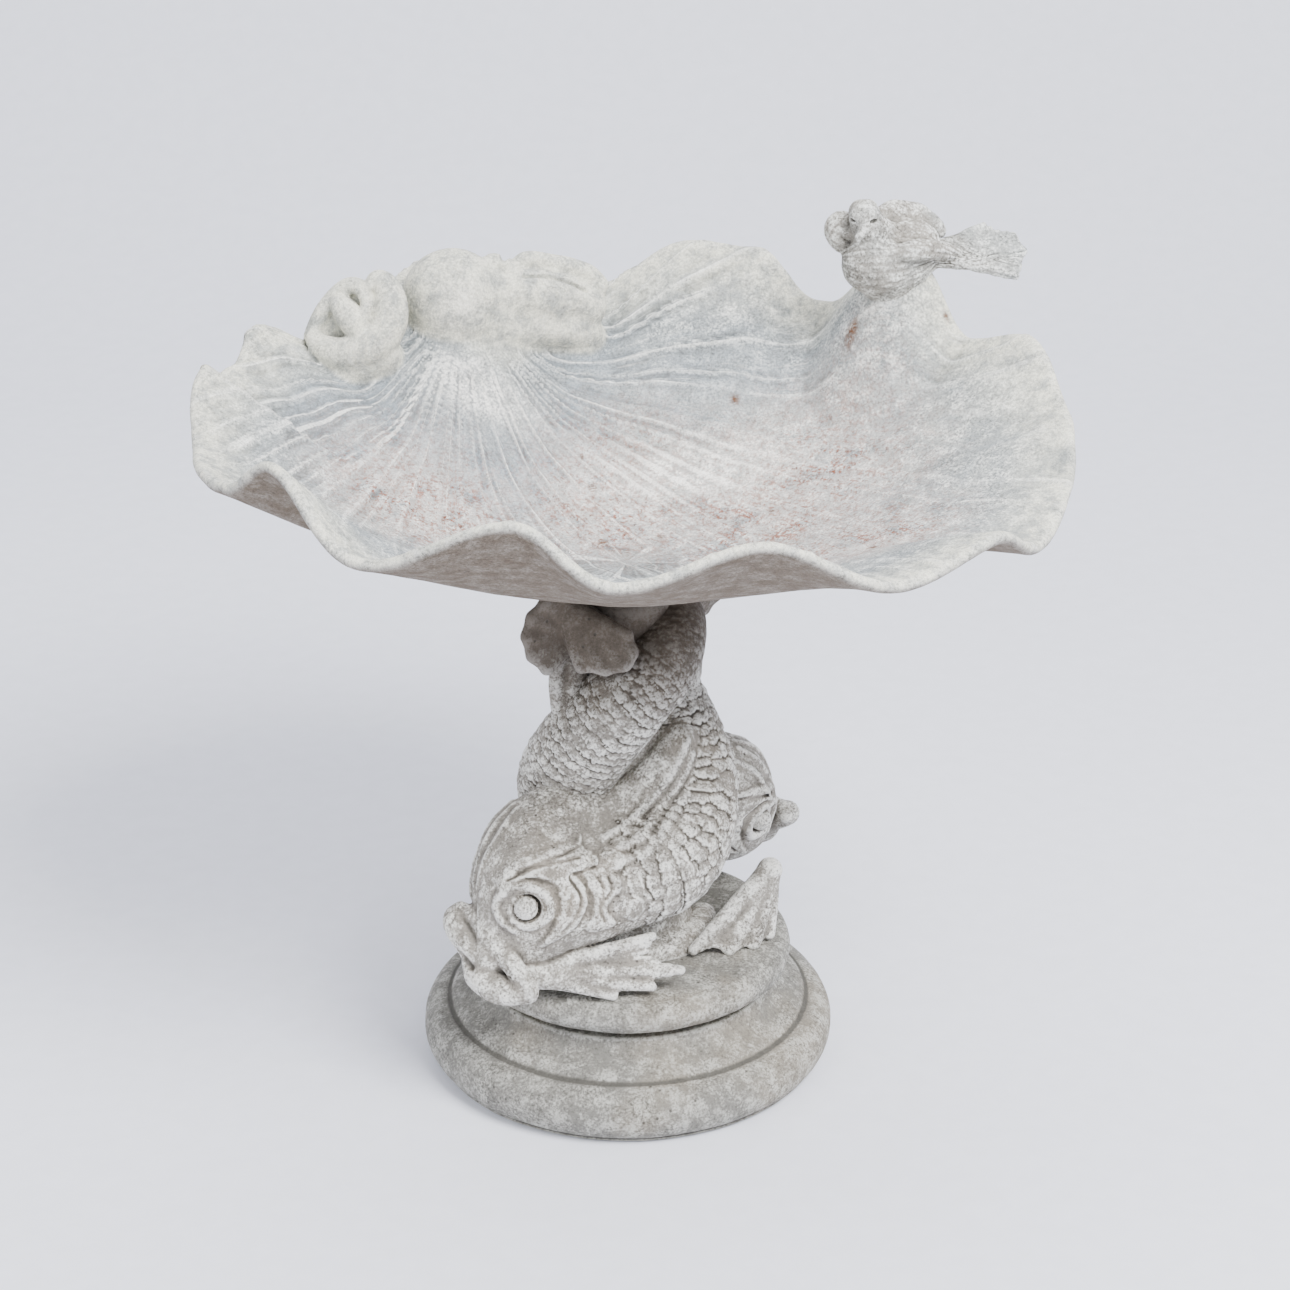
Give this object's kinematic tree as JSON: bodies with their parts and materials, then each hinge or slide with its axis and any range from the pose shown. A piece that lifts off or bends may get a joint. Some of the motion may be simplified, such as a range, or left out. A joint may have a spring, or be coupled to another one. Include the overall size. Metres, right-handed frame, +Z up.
{
  "type": "bird bath",
  "caption": "Ruffled shell basin with a small bird on its rim, lifted off a column of entwined dolphins on a round moulded base.",
  "frame": {"origin": "on the ground at the centre of the foot", "axes": "+Z up, +X to the right of someone facing the dolphin's open mouth side, +Y to the back where the shell's hinge is"},
  "size_m": [0.5082, 0.4049, 0.5038],
  "materials": {
    "foot": "weathered, pitted cast stone",
    "mortar": "rough lime mortar",
    "plinth": "weathered, pitted cast stone",
    "post": "smooth dark cast stone",
    "dolphins": "weathered cast stone with chalky bloom",
    "basin": "weathered cast stone, pale rim, reddish silt in the bowl",
    "bird": "weathered cast stone",
    "steel": "dull zinc-plated steel",
    "iron": "rusted iron"
  },
  "bodies": {
    "pedestal": {"foot": "foot", "mortar_bed": "mortar", "plinth": "plinth", "core_post": "post", "tie_rod": "steel", "tie_rod_washers": "steel", "tie_rod_nuts": "steel", "dolphin_front": "dolphins", "dolphin_rear": "dolphins"},
    "ring": {"seat_ring": "mortar"},
    "bowl": {"basin": "basin", "basin_spigot": "steel", "bird": "bird", "bird_pin": "iron"}
  },
  "joints": [
    {"name": "basin_turn", "type": "hinge", "parent": "pedestal", "child": "ring", "pos_m": [0, 0, 0.307], "axis": [0, 0, 1], "continuous": true},
    {"name": "basin_lift", "type": "slide", "parent": "ring", "child": "bowl", "axis": [0, 0, 1], "range_m": [0, 0.06]}
  ]
}
